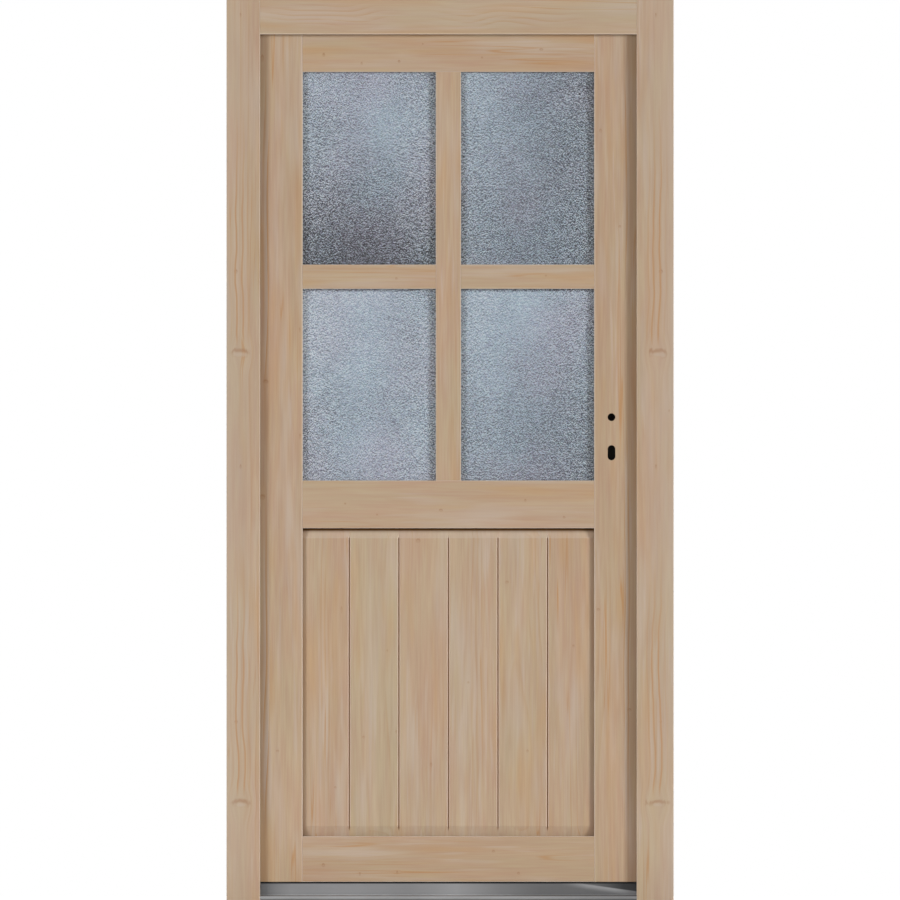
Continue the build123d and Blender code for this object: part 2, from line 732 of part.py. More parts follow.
def build():
    """Every piece of the door by its name."""
    pieces = {
        "hinge_jamb": hinge_jamb(),
        "lock_jamb": lock_jamb(),
        "frame_head": frame_head(),
        "threshold": threshold(),
        "hinge_jamb_seal": jamb_seal(rebate_left, 1),
        "lock_jamb_seal": jamb_seal(rebate_right, -1),
        "head_seal": head_seal(),
        "threshold_seal": threshold_seal(),
        "strike_plate": strike_plate(),
        "hinge_stile": hinge_stile(),
        "lock_stile": lock_stile(),
        "top_rail": top_rail(),
        "lock_rail": lock_rail(),
        "bottom_rail": bottom_rail(),
        "upright_glazing_bar": upright_glazing_bar(),
        "left_glazing_bar": cross_glazing_bar(field_left, bar_left),
        "right_glazing_bar": cross_glazing_bar(bar_right, field_right),
        "inner_panes": Compound(children=[pane(o, cavity_back) for o in PANE_OPENINGS.values()]),
        "pane_spacers": Compound(children=[spacer(o) for o in PANE_OPENINGS.values()]),
        "upright_beads": all_beads(("left", "right")),
        "cross_beads": all_beads(("bottom", "top")),
        "lock_case": lock_case(),
        "lock_faceplate": lock_faceplate(),
        "latch_bolt": bolt(latch_z),
        "dead_bolt": bolt(dead_bolt_z),
    }
    for place, opening in PANE_OPENINGS.items():
        pieces[f"{place}_pane"] = pane(opening, glass_front)
    for number in range(BOARD_COUNT):
        pieces[f"panel_board_{number + 1}"] = panel_board(number)
    for place, height in hinge_heights.items():
        pieces[f"{place}_hinge_frame_half"] = hinge_frame_half(height)
        pieces[f"{place}_hinge_leaf_half"] = hinge_leaf_half(height)
        pieces[f"{place}_hinge_pin"] = hinge_pin(height)
    return pieces


if __name__ == "__main__":
    os.makedirs("parts", exist_ok=True)
    for name, piece in build().items():
        export_step(piece, f"parts/{name}.step")
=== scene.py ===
"""Looks of a timber side door: pine and glass finishes, patterned panes, screws, light and camera."""
import math
import random
from functools import partial

import bmesh
import bpy
from bpy.props import FloatProperty, FloatVectorProperty, IntProperty, PointerProperty
from mathutils import Matrix, Vector, noise


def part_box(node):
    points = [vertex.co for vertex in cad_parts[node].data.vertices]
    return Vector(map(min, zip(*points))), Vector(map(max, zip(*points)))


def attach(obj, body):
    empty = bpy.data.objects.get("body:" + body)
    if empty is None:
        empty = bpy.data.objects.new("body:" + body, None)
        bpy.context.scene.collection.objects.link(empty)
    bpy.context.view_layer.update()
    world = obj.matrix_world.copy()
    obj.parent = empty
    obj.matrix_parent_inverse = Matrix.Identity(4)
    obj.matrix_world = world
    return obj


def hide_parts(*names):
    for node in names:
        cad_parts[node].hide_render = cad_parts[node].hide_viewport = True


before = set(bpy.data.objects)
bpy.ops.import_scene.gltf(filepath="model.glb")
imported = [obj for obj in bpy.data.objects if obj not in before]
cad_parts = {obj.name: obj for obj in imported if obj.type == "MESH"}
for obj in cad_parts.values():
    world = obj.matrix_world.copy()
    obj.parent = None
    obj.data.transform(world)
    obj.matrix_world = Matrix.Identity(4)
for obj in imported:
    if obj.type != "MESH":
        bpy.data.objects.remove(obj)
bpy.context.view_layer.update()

bl_info = {
    "name": "Side Door",
    "version": (1, 0, 0),
    "blender": (4, 5, 0),
    "location": "View3D > Sidebar > Side Door",
    "description": "Dresses a timber side door: pine, patterned glass, metal fittings and a plain stage",
    "category": "Object",
}

MM = 0.001


def linear(code):
    """An sRGB hex colour as linear red, green and blue."""
    parts = [int(code[i:i + 2], 16) / 255 for i in (1, 3, 5)]
    return tuple(p / 12.92 if p <= 0.04045 else ((p + 0.055) / 1.055) ** 2.4 for p in parts)


def colour(label, words, code):
    """A colour that a user can change, given as sRGB hex."""
    return FloatVectorProperty(name=label, description=words, subtype="COLOR", size=3, min=0, max=1,
                               default=linear(code))


def length(label, words, millimetres):
    """A length that a user can change, given in millimetres."""
    return FloatProperty(name=label, description=words, subtype="DISTANCE", unit="LENGTH", min=0,
                         default=millimetres * MM)


class SideDoorColours(bpy.types.PropertyGroup):
    """Colours of the door's finishes."""
    wood_pink: colour("Warm ground", "Pinkish ground of the pine", "#B89A83")
    wood_olive: colour("Olive ground", "Yellowish ground of the pine", "#B8A68A")
    wood_pale: colour("Pale patches", "Greyish patches along the grain", "#BEAE9F")
    wood_honey: colour("Honey patches", "Warm patches along the grain", "#B8946C")
    wood_warm: colour("Latewood", "Darker half of a growth ring", "#A98A69")
    wood_orange: colour("Resin lines", "Thin orange lines along the grain", "#B2834F")
    # Knot colour, also used as the painted warm shade on the walls of the boards' joints
    wood_knot_and_joint_shade: colour("Knot", "Rim of a knot", "#95653C")
    # Painted shade: a warm dark brown laid into the panel's corners, where the jambs' shadows fall on the
    # stiles, and under the lock rail
    wood_painted_shade: colour("Grime", "Dirt that gathers in corners and joints", "#5A3912")
    # Painted highlight: a pale colour laid on rounded arrises and along some edges, where light catches them
    wood_painted_highlight: colour("Sanded arris", "Edges rounded with sandpaper", "#F0E4D5")
    glass_light: colour("Light glass", "Light side of a patterned pane", "#A3AFBE")
    glass_dark: colour("Dark glass", "Dark side of a patterned pane", "#74747D")
    aluminium: colour("Aluminium", "Anodised threshold", "#7C7C7D")
    rubber: colour("Rubber", "Seals round the leaf", "#1B1B1C")
    zinc: colour("Zinc", "Plated hinges and screws", "#B9BBBE")
    stainless: colour("Stainless steel", "Lock plates and bolts", "#B4B3B0")


class SideDoorSizes(bpy.types.PropertyGroup):
    """Sizes of what is added to the solids."""
    pebble_pitch: length("Hammer pitch", "Width of one hollow of the patterned glass", 5.5)
    pebble_relief: length("Hammer relief", "Depth of the hollows", 0.12)
    pane_bite: length("Pane bite", "How far a pane reaches behind the timber", 13.0)
    pane_grid: length("Pane mesh", "Width of one mesh cell of a patterned pane", 2.0)
    ring_width: length("Ring width", "Growth rings across the timber", 9.0)
    screw_radius: length("Screw head", "Radius of the lock's countersunk screw heads", 4.0)
    fixing_radius: length("Fixing screw head", "Radius of the frame screws' heads", 5.5)
    screw_sides: IntProperty(
        name="Screw sides", description="Sides of a round screw head", default=24, min=12)


# Shader building

MATH = "ShaderNodeMath"
VECTOR = "ShaderNodeVectorMath"
RANGE = "ShaderNodeMapRange"
MAPPING = "ShaderNodeMapping"
NOISE = "ShaderNodeTexNoise"
RAMP = "ShaderNodeValToRGB"
MIX = "ShaderNodeMix"
AXES = "ShaderNodeSeparateXYZ"
BUMP = "ShaderNodeBump"


def fill(tree, made, inputs):
    """Sets or links a node's inputs."""
    for key, value in inputs.items():
        if isinstance(value, bpy.types.NodeSocket):
            tree.links.new(value, made.inputs[key])
        else:
            made.inputs[key].default_value = value


def node(tree, kind, inputs=None, out=0, stops=None, **settings):
    """Adds a node with its settings, values and links, and returns one of its outputs."""
    made = tree.nodes.new(kind)
    for key, value in settings.items():
        setattr(made, key, value)
    fill(tree, made, inputs or {})
    if stops:
        ramp = made.color_ramp
        while len(ramp.elements) < len(stops):
            ramp.elements.new(1.0)
        for element, (place, tone) in zip(ramp.elements, stops):
            element.position = place
            element.color = opaque(tone)
    return made.outputs[out]


def opaque(tone):
    return (*tone, 1.0)


def grey(value):
    return (value, value, value)


def start_material(name):
    """A new material: functions that add a node and that set its shader, and the piece's own coordinates."""
    material = bpy.data.materials.new(name)
    material.use_nodes = True
    tree = material.node_tree
    add = partial(node, tree)
    cover = partial(fill, tree, tree.nodes["Principled BSDF"])
    return material, add, cover, add("ShaderNodeTexCoord", out="Object")


def seen_rays(add):
    """1 for what the camera sees, straight or by way of metal and glass, and 0 for light on the object."""
    seen = add("ShaderNodeLightPath", out="Is Camera Ray")
    for kind in ("Is Glossy Ray", "Is Transmission Ray"):
        seen = add(MATH, {0: seen, 1: add("ShaderNodeLightPath", out=kind)}, operation="MAXIMUM")
    return seen


def corners(name):
    """A CAD node's lowest and highest corners."""
    return [Vector(corner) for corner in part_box(name)]


def dress(name, material):
    """Gives a CAD node its finish through its object's own material slot."""
    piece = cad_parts[name]
    if not piece.material_slots:
        piece.data.materials.append(None)
    for place in piece.material_slots:
        place.link = "OBJECT"
        place.material = material


# Materials

# Layers of the pine's grain: a feature's width as a share of its length, and how many fill a metre across.
# The fibres are 3 mm wide, coarser than real ones so that they show; the rest are 6 to 170 mm wide.
GRAIN = {
    "fibres": (0.035, 300.0),
    "ragged rims": (0.5, 160.0),
    "pale streaks": (0.045, 125.0),
    "narrow bands": (0.05, 95.0),
    "orange lines": (0.022, 62.0),
    "honey patches": (0.12, 30.0),
    "pale patches": (0.12, 28.0),
    "broad bands": (0.10, 24.0),
    "glow": (0.06, 20.0),
    "ground": (0.2, 16.0),
    "pale places": (0.15, 14.0),
    "orange places": (0.22, 11.0),
    "sway": (1.0, 6.0),
}


def pine(name, grain, seed, hue, tone):
    """Planed pine, unpainted: a calm ground with fine fibre lines, pale and honey patches and small knots.

    The eye sees low contrast along the grain, orange lines where latewood runs out above a knot, arrises with
    a painted highlight that makes them paler than the faces, and painted shade in the corners and joints.
    """
    colours = bpy.context.scene.side_door_colours
    material, add, cover, coords = start_material("planed_pine_" + name)
    luck = random.Random(seed)
    along = "XYZ".index(grain)
    across = 2 - along

    def oval(x, z, wide, high):
        """The way from a place on the face, and how far out that is on an oval of this size."""
        way = add(VECTOR, {0: coords, 1: (x, 0.0, z)}, operation="SUBTRACT")
        way = add(VECTOR, {0: way, 1: (1.0, 0.0, 1.0)}, operation="MULTIPLY")
        share = add(VECTOR, {0: way, 1: (1 / wide, 0.0, 1 / high)}, operation="MULTIPLY")
        return way, add(VECTOR, {0: share}, "Value", operation="LENGTH")

    # Knots push the grain aside, further along the timber than across it, and their core sits a little low
    flow = coords
    hearts = []
    for x, z, wide, high, strength in KNOTS.get(name, ()):
        rim = oval(x, z, wide, high)[1]
        core = oval(x, z - 0.35 * high, 0.85 * wide, 0.75 * high)[1]
        hearts.append((rim, core, strength, wide > BROAD_KNOT))
        reach = [1.8 * wide, 1.8 * high]
        reach[0 if grain == "X" else 1] *= 3.0
        way, away = oval(x, z, *reach)
        pull = add(RANGE, {0: away, 3: 0.8, 4: 0.0}, interpolation_type="SMOOTHSTEP")
        shift = add(VECTOR, {0: way, "Scale": pull}, operation="SCALE")
        flow = add(VECTOR, {0: flow, 1: shift}, operation="SUBTRACT")
    low, high = corners(name)
    flow = add(VECTOR, {0: flow, 1: (low + high) / 2}, operation="SUBTRACT")

    def drawn(layer, detail=2.0):
        """Noise drawn out along the grain and into the depth, shifted so that no two timbers match."""
        ratio, scale = GRAIN[layer]
        size = [1.0, 0.3, 1.0]
        size[along] = ratio
        place = [luck.uniform(-20, 20) for _ in range(3)]
        shaped = add(MAPPING, {"Vector": flow, "Location": place, "Scale": size})
        return add(NOISE, {"Vector": shaped, "Scale": scale, "Detail": detail}, "Fac")

    # Rings about a pith beside the face or, for a flat cut, behind it; the timber follows it at a slant
    flat_cut = name in FLAT_CUT
    behind, beside = ((0.05, 0.08), (0.0, 0.02)) if flat_cut else ((0.01, 0.03), (0.06, 0.10))
    pith = [0.0, luck.choice((-1, 1)) * luck.uniform(*behind), 0.0]
    pith[across] = luck.choice((-1, 1)) * luck.uniform(*beside)
    slant = [0.0, 0.0, 0.0]
    slant[across] = luck.choice((-1, 1)) * luck.uniform(0.02, 0.06)
    slant[1] = luck.choice((-1, 1)) * luck.uniform(0.005, 0.02)
    size = [1.0, 1.0, 1.0]
    size[along], wander, spread = WAVES.get(name, USUAL_WAVE)
    turned = add(MAPPING, {"Vector": flow, "Location": pith, "Rotation": slant, "Scale": size})
    ring_width = bpy.context.scene.side_door_sizes.ring_width * spread
    rings = add("ShaderNodeTexWave", {
        "Vector": turned, "Scale": math.tau / (20 * ring_width), "Distortion": wander, "Detail": 1.0,
        "Detail Scale": 0.35, "Detail Roughness": 0.4,
    }, "Fac", wave_type="RINGS", rings_direction=grain, wave_profile="SAW")
    late = add(RAMP, {0: rings},
               stops=[(0.45, grey(0)), (0.82, grey(0.5)), (0.94, grey(1)), (1.0, grey(0.2))])

    # A ground between pink and olive, with pale and honey patches and faint rings everywhere
    fibres = drawn("fibres")
    ground = add(RANGE, {0: drawn("ground"), 1: 0.35, 2: 0.65, 3: hue - 0.28, 4: hue + 0.28})
    threads = add(RANGE, {0: fibres, 1: 0.3, 2: 0.7, 3: -0.3, 4: 0.3})
    ground = add(MATH, {0: ground, 1: threads}, operation="ADD")
    body = add(MIX, {0: ground, 6: opaque(colours.wood_pink), 7: opaque(colours.wood_olive)}, 2,
               data_type="RGBA")
    if tone:
        body = add(MIX, {0: tone, 6: body, 7: opaque(colours.wood_warm)}, 2, data_type="RGBA")
    patches = (("pale patches", colours.wood_pale, 0.7), ("honey patches", colours.wood_honey, 0.6))
    for layer, patch, most in patches:
        spot = add(RANGE, {0: drawn(layer), 1: 0.52, 2: 0.74, 3: 0.0, 4: most})
        body = add(MIX, {0: spot, 6: body, 7: opaque(patch)}, 2, data_type="RGBA")
    faint = add(MATH, {0: late, 1: 0.11}, operation="MULTIPLY")
    body = add(MIX, {0: faint, 6: body, 7: opaque(colours.wood_warm)}, 2, data_type="RGBA")

    # Flames: places where latewood stands out orange, with pale earlywood between; the timbers that lie
    # across the door are calmer
    calm = 0.55 if grain == "X" else 1.0
    glow = add(RANGE, {0: drawn("glow"), 1: 0.56, 2: 0.70, 3: 0.0, 4: 0.4 * calm})
    for x, z, wide, high, strength in FLAMES.get(name, ()):
        flame = add(RANGE, {0: oval(x, z, wide, high)[1], 1: 0.45, 2: 1.0, 3: strength, 4: 0.0},
                    interpolation_type="SMOOTHSTEP")
        glow = add(MATH, {0: glow, 1: flame}, operation="MAXIMUM")
    early = add(MATH, {0: 1.0, 1: late}, operation="SUBTRACT")
    early = add(MATH, {0: early, 1: glow}, operation="MULTIPLY")
    early = add(MATH, {0: early, 1: 0.6}, operation="MULTIPLY")
    body = add(MIX, {0: early, 6: body, 7: opaque(colours.wood_pale)}, 2, data_type="RGBA")
    burnt = add(MATH, {0: late, 1: glow}, operation="MULTIPLY")
    body = add(MIX, {0: burnt, 6: body, 7: opaque(colours.wood_orange)}, 2, data_type="RGBA")

    # Short pale streaks and thin orange lines
    pale = add(RANGE, {0: drawn("pale streaks"), 1: 0.56, 2: 0.66})
    pale_here = add(RANGE, {0: drawn("pale places"), 1: 0.46, 2: 0.60, 3: 0.0, 4: 0.45})
    pale = add(MATH, {0: pale, 1: pale_here}, operation="MULTIPLY")
    body = add(MIX, {0: pale, 6: body, 7: opaque(colours.wood_pale)}, 2, data_type="RGBA")
    line = add(RAMP, {0: drawn("orange lines", 1.0)},
               stops=[(0.590, grey(0)), (0.606, grey(1)), (0.612, grey(1)), (0.632, grey(0))])
    line_here = add(RANGE, {0: drawn("orange places"), 1: 0.50, 2: 0.60, 3: 0.0, 4: 0.7})
    line = add(MATH, {0: line, 1: line_here}, operation="MULTIPLY")
    body = add(MIX, {0: line, 6: body, 7: opaque(colours.wood_orange)}, 2, data_type="RGBA")

    # The fibres and two broader bands of light and dark make each face a little uneven
    bands = []
    for band, deep in ((fibres, 0.035), (drawn("narrow bands"), 0.030), (drawn("broad bands"), 0.040)):
        deep *= calm
        bands.append(add(RANGE, {0: band, 1: 0.3, 2: 0.7, 3: 1.0 - deep, 4: 1.0 + deep}))
    uneven = add(MATH, {0: bands[0], 1: bands[1]}, operation="MULTIPLY")
    uneven = add(MATH, {0: uneven, 1: bands[2]}, operation="MULTIPLY")
    uneven = add("ShaderNodeCombineColor", {0: uneven, 1: uneven, 2: uneven})
    body = add(MIX, {0: 1.0, 6: body, 7: uneven}, 2, data_type="RGBA", blend_type="MULTIPLY")

    # Hearts of the knots: an uneven orange arch over a paler middle
    ragged = add(RANGE, {0: drawn("ragged rims"), 1: 0.3, 2: 0.7, 3: -0.3, 4: 0.3})
    for rim, core, strength, broad in hearts:
        rim = add(MATH, {0: rim, 1: ragged}, operation="ADD")
        core = add(MATH, {0: core, 1: ragged}, operation="ADD")
        rim = add(RANGE, {0: rim, 1: 0.6, 2: 1.1, 3: strength, 4: 0.0}, interpolation_type="SMOOTHSTEP")
        hollow = add(RANGE, {0: core, 1: 0.5, 2: 1.1, 3: 0.1 if broad else 0.4, 4: 1.0},
                     interpolation_type="SMOOTHSTEP")
        arch = add(MATH, {0: rim, 1: hollow}, operation="MULTIPLY")
        body = add(MIX, {0: arch, 6: body, 7: opaque(colours.wood_knot_and_joint_shade)}, 2, data_type="RGBA")
        if broad:
            pale_core = add(RANGE, {0: core, 1: 0.2, 2: 0.9, 3: 0.5, 4: 0.0}, interpolation_type="SMOOTHSTEP")
            body = add(MIX, {0: pale_core, 6: body, 7: opaque(colours.wood_pale)}, 2, data_type="RGBA")

    # Thin resin lines that run up from the broad knots and sway a little
    if name in RESIN_LINES:
        sway = add(RANGE, {0: drawn("sway"), 1: 0.3, 2: 0.7, 3: -RESIN_SWAY, 4: RESIN_SWAY})
        bent = add(MATH, {0: add(AXES, {0: coords}, "X"), 1: sway}, operation="ADD")
        up = add(AXES, {0: coords}, "Z")
        for x, strength in RESIN_LINES[name]:
            gap = add(MATH, {0: bent, 1: x}, operation="SUBTRACT")
            gap = add(MATH, {0: gap}, operation="ABSOLUTE")
            line = add(RANGE, {0: gap, 1: RESIN_CORE, 2: RESIN_RIM, 3: strength, 4: 0.0})
            for knot in BROAD_KNOT_HEIGHTS:
                begins = add(RANGE, {0: up, 1: knot + RESIN_BEGINS[0], 2: knot + RESIN_BEGINS[1]})
                ends = add(RANGE, {0: up, 1: knot + RESIN_ENDS[0], 2: knot + RESIN_ENDS[1], 3: 1.0, 4: 0.0})
                here = add(MATH, {0: begins, 1: ends}, operation="MULTIPLY")
                here = add(MATH, {0: here, 1: line}, operation="MULTIPLY")
                body = add(MIX, {0: here, 6: body, 7: opaque(colours.wood_orange)}, 2, data_type="RGBA")

    # Painted highlight on the arrises: any face that lies between two main directions is painted paler
    facing = add("ShaderNodeTexCoord", out="Normal")
    facing = add(VECTOR, {0: facing}, operation="ABSOLUTE")
    sides = [add(AXES, {0: facing}, axis) for axis in range(3)]
    largest = add(MATH, {0: sides[0], 1: sides[1]}, operation="MAXIMUM")
    largest = add(MATH, {0: largest, 1: sides[2]}, operation="MAXIMUM")
    arris_highlight = add(RANGE, {0: largest, 1: 0.930, 2: 0.80})
    body = add(MIX, {0: arris_highlight, 6: body, 7: opaque(colours.wood_painted_highlight)}, 2, data_type="RGBA")

    # Painted warm shade on the walls of the boards' joints, and marks along corners and edges: painted shade,
    # painted highlights and the frame's paler outer side
    marks = list(MARKS.get(name, ()))
    if name.startswith("panel_board"):
        marks += BOARD_MARKS
        joint = add(RANGE, {0: sides[0], 1: 0.60, 2: 0.90, 3: 0.0, 4: 0.62})
        # Outside, near its top, where the joint runs out through the bevel, a painted highlight makes it pale
        start = add(RANGE, {0: add(AXES, {0: coords}, "Z"), 1: JOINT_TOP[0], 2: JOINT_TOP[1]})
        outside = add(RANGE, {0: add(AXES, {0: coords}, "Y"), 1: JOINT_OUTSIDE[0], 2: JOINT_OUTSIDE[1]})
        start = add(MATH, {0: start, 1: outside}, operation="MULTIPLY")
        inside = add(MIX, {0: start, 6: opaque(colours.wood_knot_and_joint_shade), 7: opaque(colours.wood_painted_highlight)}, 2,
                     data_type="RGBA")
        body = add(MIX, {0: joint, 6: body, 7: inside}, 2, data_type="RGBA")
    for axis, strongest, end, strength, paint in marks:
        place = add(AXES, {0: coords}, axis)
        mark_share = add(RANGE, {0: place, 1: strongest, 2: end, 3: strength, 4: 0.0},
                     interpolation_type="SMOOTHSTEP")
        body = add(MIX, {0: mark_share, 6: body, 7: opaque(getattr(colours, paint))}, 2, data_type="RGBA")

    height = add(MIX, {0: 0.5, 6: late, 7: fibres}, 2, data_type="RGBA")
    bump = add(BUMP, {"Height": height, "Strength": 0.10, "Distance": 0.0004})
    cover({"Base Color": body, "Normal": bump, "Roughness": 0.62, "Specular IOR Level": 0.25})
    return material


# Pebbles of the patterned glass: width, width as a share of height, and how far below lies the dark side
PEBBLE_WIDTH = 1.25 * MM
PEBBLE_SQUASH = 0.7
PEBBLE_DROP = 2.2 * MM

# The pane's painted shade along its sides, and where the painted shadow under a bar begins and is full, from
# the sight line
BORDER_WIDTH = 18.0 * MM
LINTEL_LINE = (8.0 * MM, 4.0 * MM)

GLASS_IOR = 1.52


def patterned_glass(name, level, rise, lean, sag, twist, cool, lintel, spark):
    """Rolled patterned glass: a pebbled front scatters light, so the pane looks cloudy and glitters.

    The eye sees blue grey with light and dark specks, which are painted light and shade on the pebbles. The
    coarse hammering is in the mesh; the fine pebbles, under 2 mm across, are drawn coarser than real ones so
    that they show. No two panes are alike, and each carries its own painted reflections: level is a pane's
    middle tone, rise and lean change it up and across, sag darkens both ends, twist darkens two corners, cool
    turns it from lilac to cyan, lintel paints shade along its top edge, and light where it is below nought,
    and spark is how strongly the pebbles' painted light and shade glitter.
    Clouds are about 110 mm across, and the tint changes about every 200 mm and, finely, every 4 mm.
    """
    colours = bpy.context.scene.side_door_colours
    material, add, cover, coords = start_material("rolled_glass_" + name)
    low, high = corners(name)
    half = (high - low) / 2
    place = add(VECTOR, {0: coords, 1: (low + high) / 2}, operation="SUBTRACT")
    place = add(VECTOR, {0: place, 1: (1 / half.x, 0.0, 1 / half.z)}, operation="MULTIPLY")
    side = add(AXES, {0: place}, "X")
    up = add(AXES, {0: place}, "Z")
    # Painted reflections: the pane is lighter and darker up and across, darker at both ends and in two
    # corners
    mood = add(VECTOR, {0: place, 1: (lean, 0.0, rise)}, "Value", operation="DOT_PRODUCT")
    bow = add(MATH, {0: up, 1: up}, operation="MULTIPLY")
    mood = add(MATH, {0: bow, 1: -sag, 2: mood}, operation="MULTIPLY_ADD")
    bow = add(MATH, {0: side, 1: up}, operation="MULTIPLY")
    mood = add(MATH, {0: bow, 1: twist, 2: mood}, operation="MULTIPLY_ADD")
    cloud = add(NOISE, {"Vector": coords, "Scale": 9.0, "Detail": 2.0, "Distortion": 0.8}, "Fac")
    cloud = add(RANGE, {0: cloud, 1: 0.3, 2: 0.7, 3: level - 0.06, 4: level + 0.06})
    mood = add(MATH, {0: mood, 1: cloud}, operation="ADD")

    # Painted shade: a soft dark band inside the sight line, where the timber's shadow falls, and a painted
    # shadow under a bar that overhangs
    bite = bpy.context.scene.side_door_sizes.pane_bite
    sight = 1 - bite / half.x
    off = add(MATH, {0: side}, operation="ABSOLUTE")
    border = add(RANGE, {0: off, 1: sight - BORDER_WIDTH / half.x, 2: sight, 3: 0.0, 4: -0.11},
                 interpolation_type="SMOOTHSTEP")
    mood = add(MATH, {0: mood, 1: border}, operation="ADD")
    sight = 1 - bite / half.z
    begins, full = (sight - reach / half.z for reach in LINTEL_LINE)
    border = add(RANGE, {0: up, 1: begins, 2: full, 3: 0.0, 4: -lintel})
    mood = add(MATH, {0: mood, 1: border}, operation="ADD")

    # Painted light and shade on the pebbles: each has its own tone and is painted darker below, as if lit
    # from above; the same cells are taken away lower down
    pebbles = []
    across = 1 / PEBBLE_WIDTH
    upwards = across * PEBBLE_SQUASH
    for shift in (0.0, PEBBLE_DROP):
        moved = add(MAPPING, {"Vector": coords, "Location": (0.0, 0.0, shift * upwards),
                              "Scale": (across, across, upwards)})
        cells = add("ShaderNodeTexVoronoi", {"Vector": moved, "Scale": 1.0}, "Color")
        pebbles.append(add(AXES, {0: cells}, "X"))
    relief = add(MATH, {0: pebbles[1], 1: -0.35, 2: pebbles[0]}, operation="MULTIPLY_ADD")
    relief = add(MATH, {0: relief, 1: 0.325}, operation="SUBTRACT")
    # Painted glitter: the pebbles' painted light and shade, stronger where the pane is dark and near its
    # sides
    glitter = add(RANGE, {0: mood, 1: 0.3, 2: 0.7, 3: 1.9 * spark, 4: 1.0 * spark})
    sides = add(RANGE, {0: off, 1: 0.2, 2: 0.9, 3: 0.8, 4: 1.25})
    glitter = add(MATH, {0: glitter, 1: sides}, operation="MULTIPLY")
    shade = add(MATH, {0: relief, 1: glitter, 2: mood}, operation="MULTIPLY_ADD")
    shade = add(RANGE, {0: shade, 1: -0.5, 2: 1.5})
    body = add(RAMP, {0: shade}, stops=[
        (0.0, linear("#060608")), (0.25, linear("#30323B")), (0.425, colours.glass_dark),
        (0.575, colours.glass_light), (0.75, linear("#D0DBE6")), (1.0, linear("#F4F8FF"))])
    veil = add(NOISE, {"Vector": coords, "Scale": 5.0, "Detail": 1.0}, "Fac")
    veil = add(RAMP, {0: veil}, stops=[(0.38 - cool, linear("#C3B6C6")), (0.62 - cool, linear("#A9C2CC"))])
    body = add(MIX, {0: 0.45, 6: body, 7: veil}, 2, data_type="RGBA", blend_type="SOFT_LIGHT")
    tint = add(NOISE, {"Vector": coords, "Scale": 240.0, "Detail": 2.0}, "Color")
    body = add(MIX, {0: 0.25, 6: body, 7: tint}, 2, data_type="RGBA", blend_type="SOFT_LIGHT")
    bump = add(BUMP, {"Height": pebbles[0], "Strength": 0.35, "Distance": 0.0006})
    cover({"Base Color": body, "Normal": bump, "Roughness": 0.25, "IOR": GLASS_IOR,
           "Transmission Weight": 0.35})
    return material


def float_glass():
    """Clear float glass: polished on both sides, with a faint green from its iron and smears 110 mm wide."""
    material, add, cover, coords = start_material("clear_float_glass")
    smear = add(NOISE, {"Vector": coords, "Scale": 9.0, "Detail": 3.0}, "Fac")
    rough = add(RANGE, {0: smear, 3: 0.02, 4: 0.07})
    cover({"Base Color": opaque(linear("#EEF4F2")), "Roughness": rough, "IOR": GLASS_IOR,
           "Transmission Weight": 1.0})
    return material


def metal(name, tone, grain, roughness, brush, shade=None):
    """A worked metal surface: fine lines along its rolling or brushing direction and a slightly uneven sheen.

    The lines are about 1 mm apart and 80 mm long, coarser than real ones so that they show. A shade, where
    one is given, is a function that returns the painted light and shade on the metal from place to place.
    """
    material, add, cover, coords = start_material(name)
    scale = [900.0, 900.0, 900.0]
    scale["XYZ".index(grain)] = 12.0
    lines = add(MAPPING, {"Vector": coords, "Scale": scale})
    lines = add(NOISE, {"Vector": lines, "Scale": 1.0, "Detail": 2.0}, "Fac")
    patch = add(NOISE, {"Vector": coords, "Scale": 6.0, "Detail": 2.0}, "Fac")
    patch = add(RANGE, {0: patch, 1: 0.3, 2: 0.7, 3: 0.93, 4: 1.07})
    if shade:
        patch = add(MATH, {0: patch, 1: shade(add, coords)}, operation="MULTIPLY")
    patch = add("ShaderNodeCombineColor", {0: patch, 1: patch, 2: patch})
    body = add(MIX, {0: 1.0, 6: opaque(tone), 7: patch}, 2, data_type="RGBA", blend_type="MULTIPLY")
    rough = add(RANGE, {0: lines, 1: 0.3, 2: 0.7, 3: roughness - 0.08, 4: roughness + 0.08})
    bump = add(BUMP, {"Height": lines, "Strength": brush, "Distance": 0.0001})
    cover({"Base Color": body, "Normal": bump, "Roughness": rough, "Metallic": 1.0})
    return material


# How far the painted glint on the threshold falls for each step towards the lock jamb
GLINT_SLOPE = 0.138


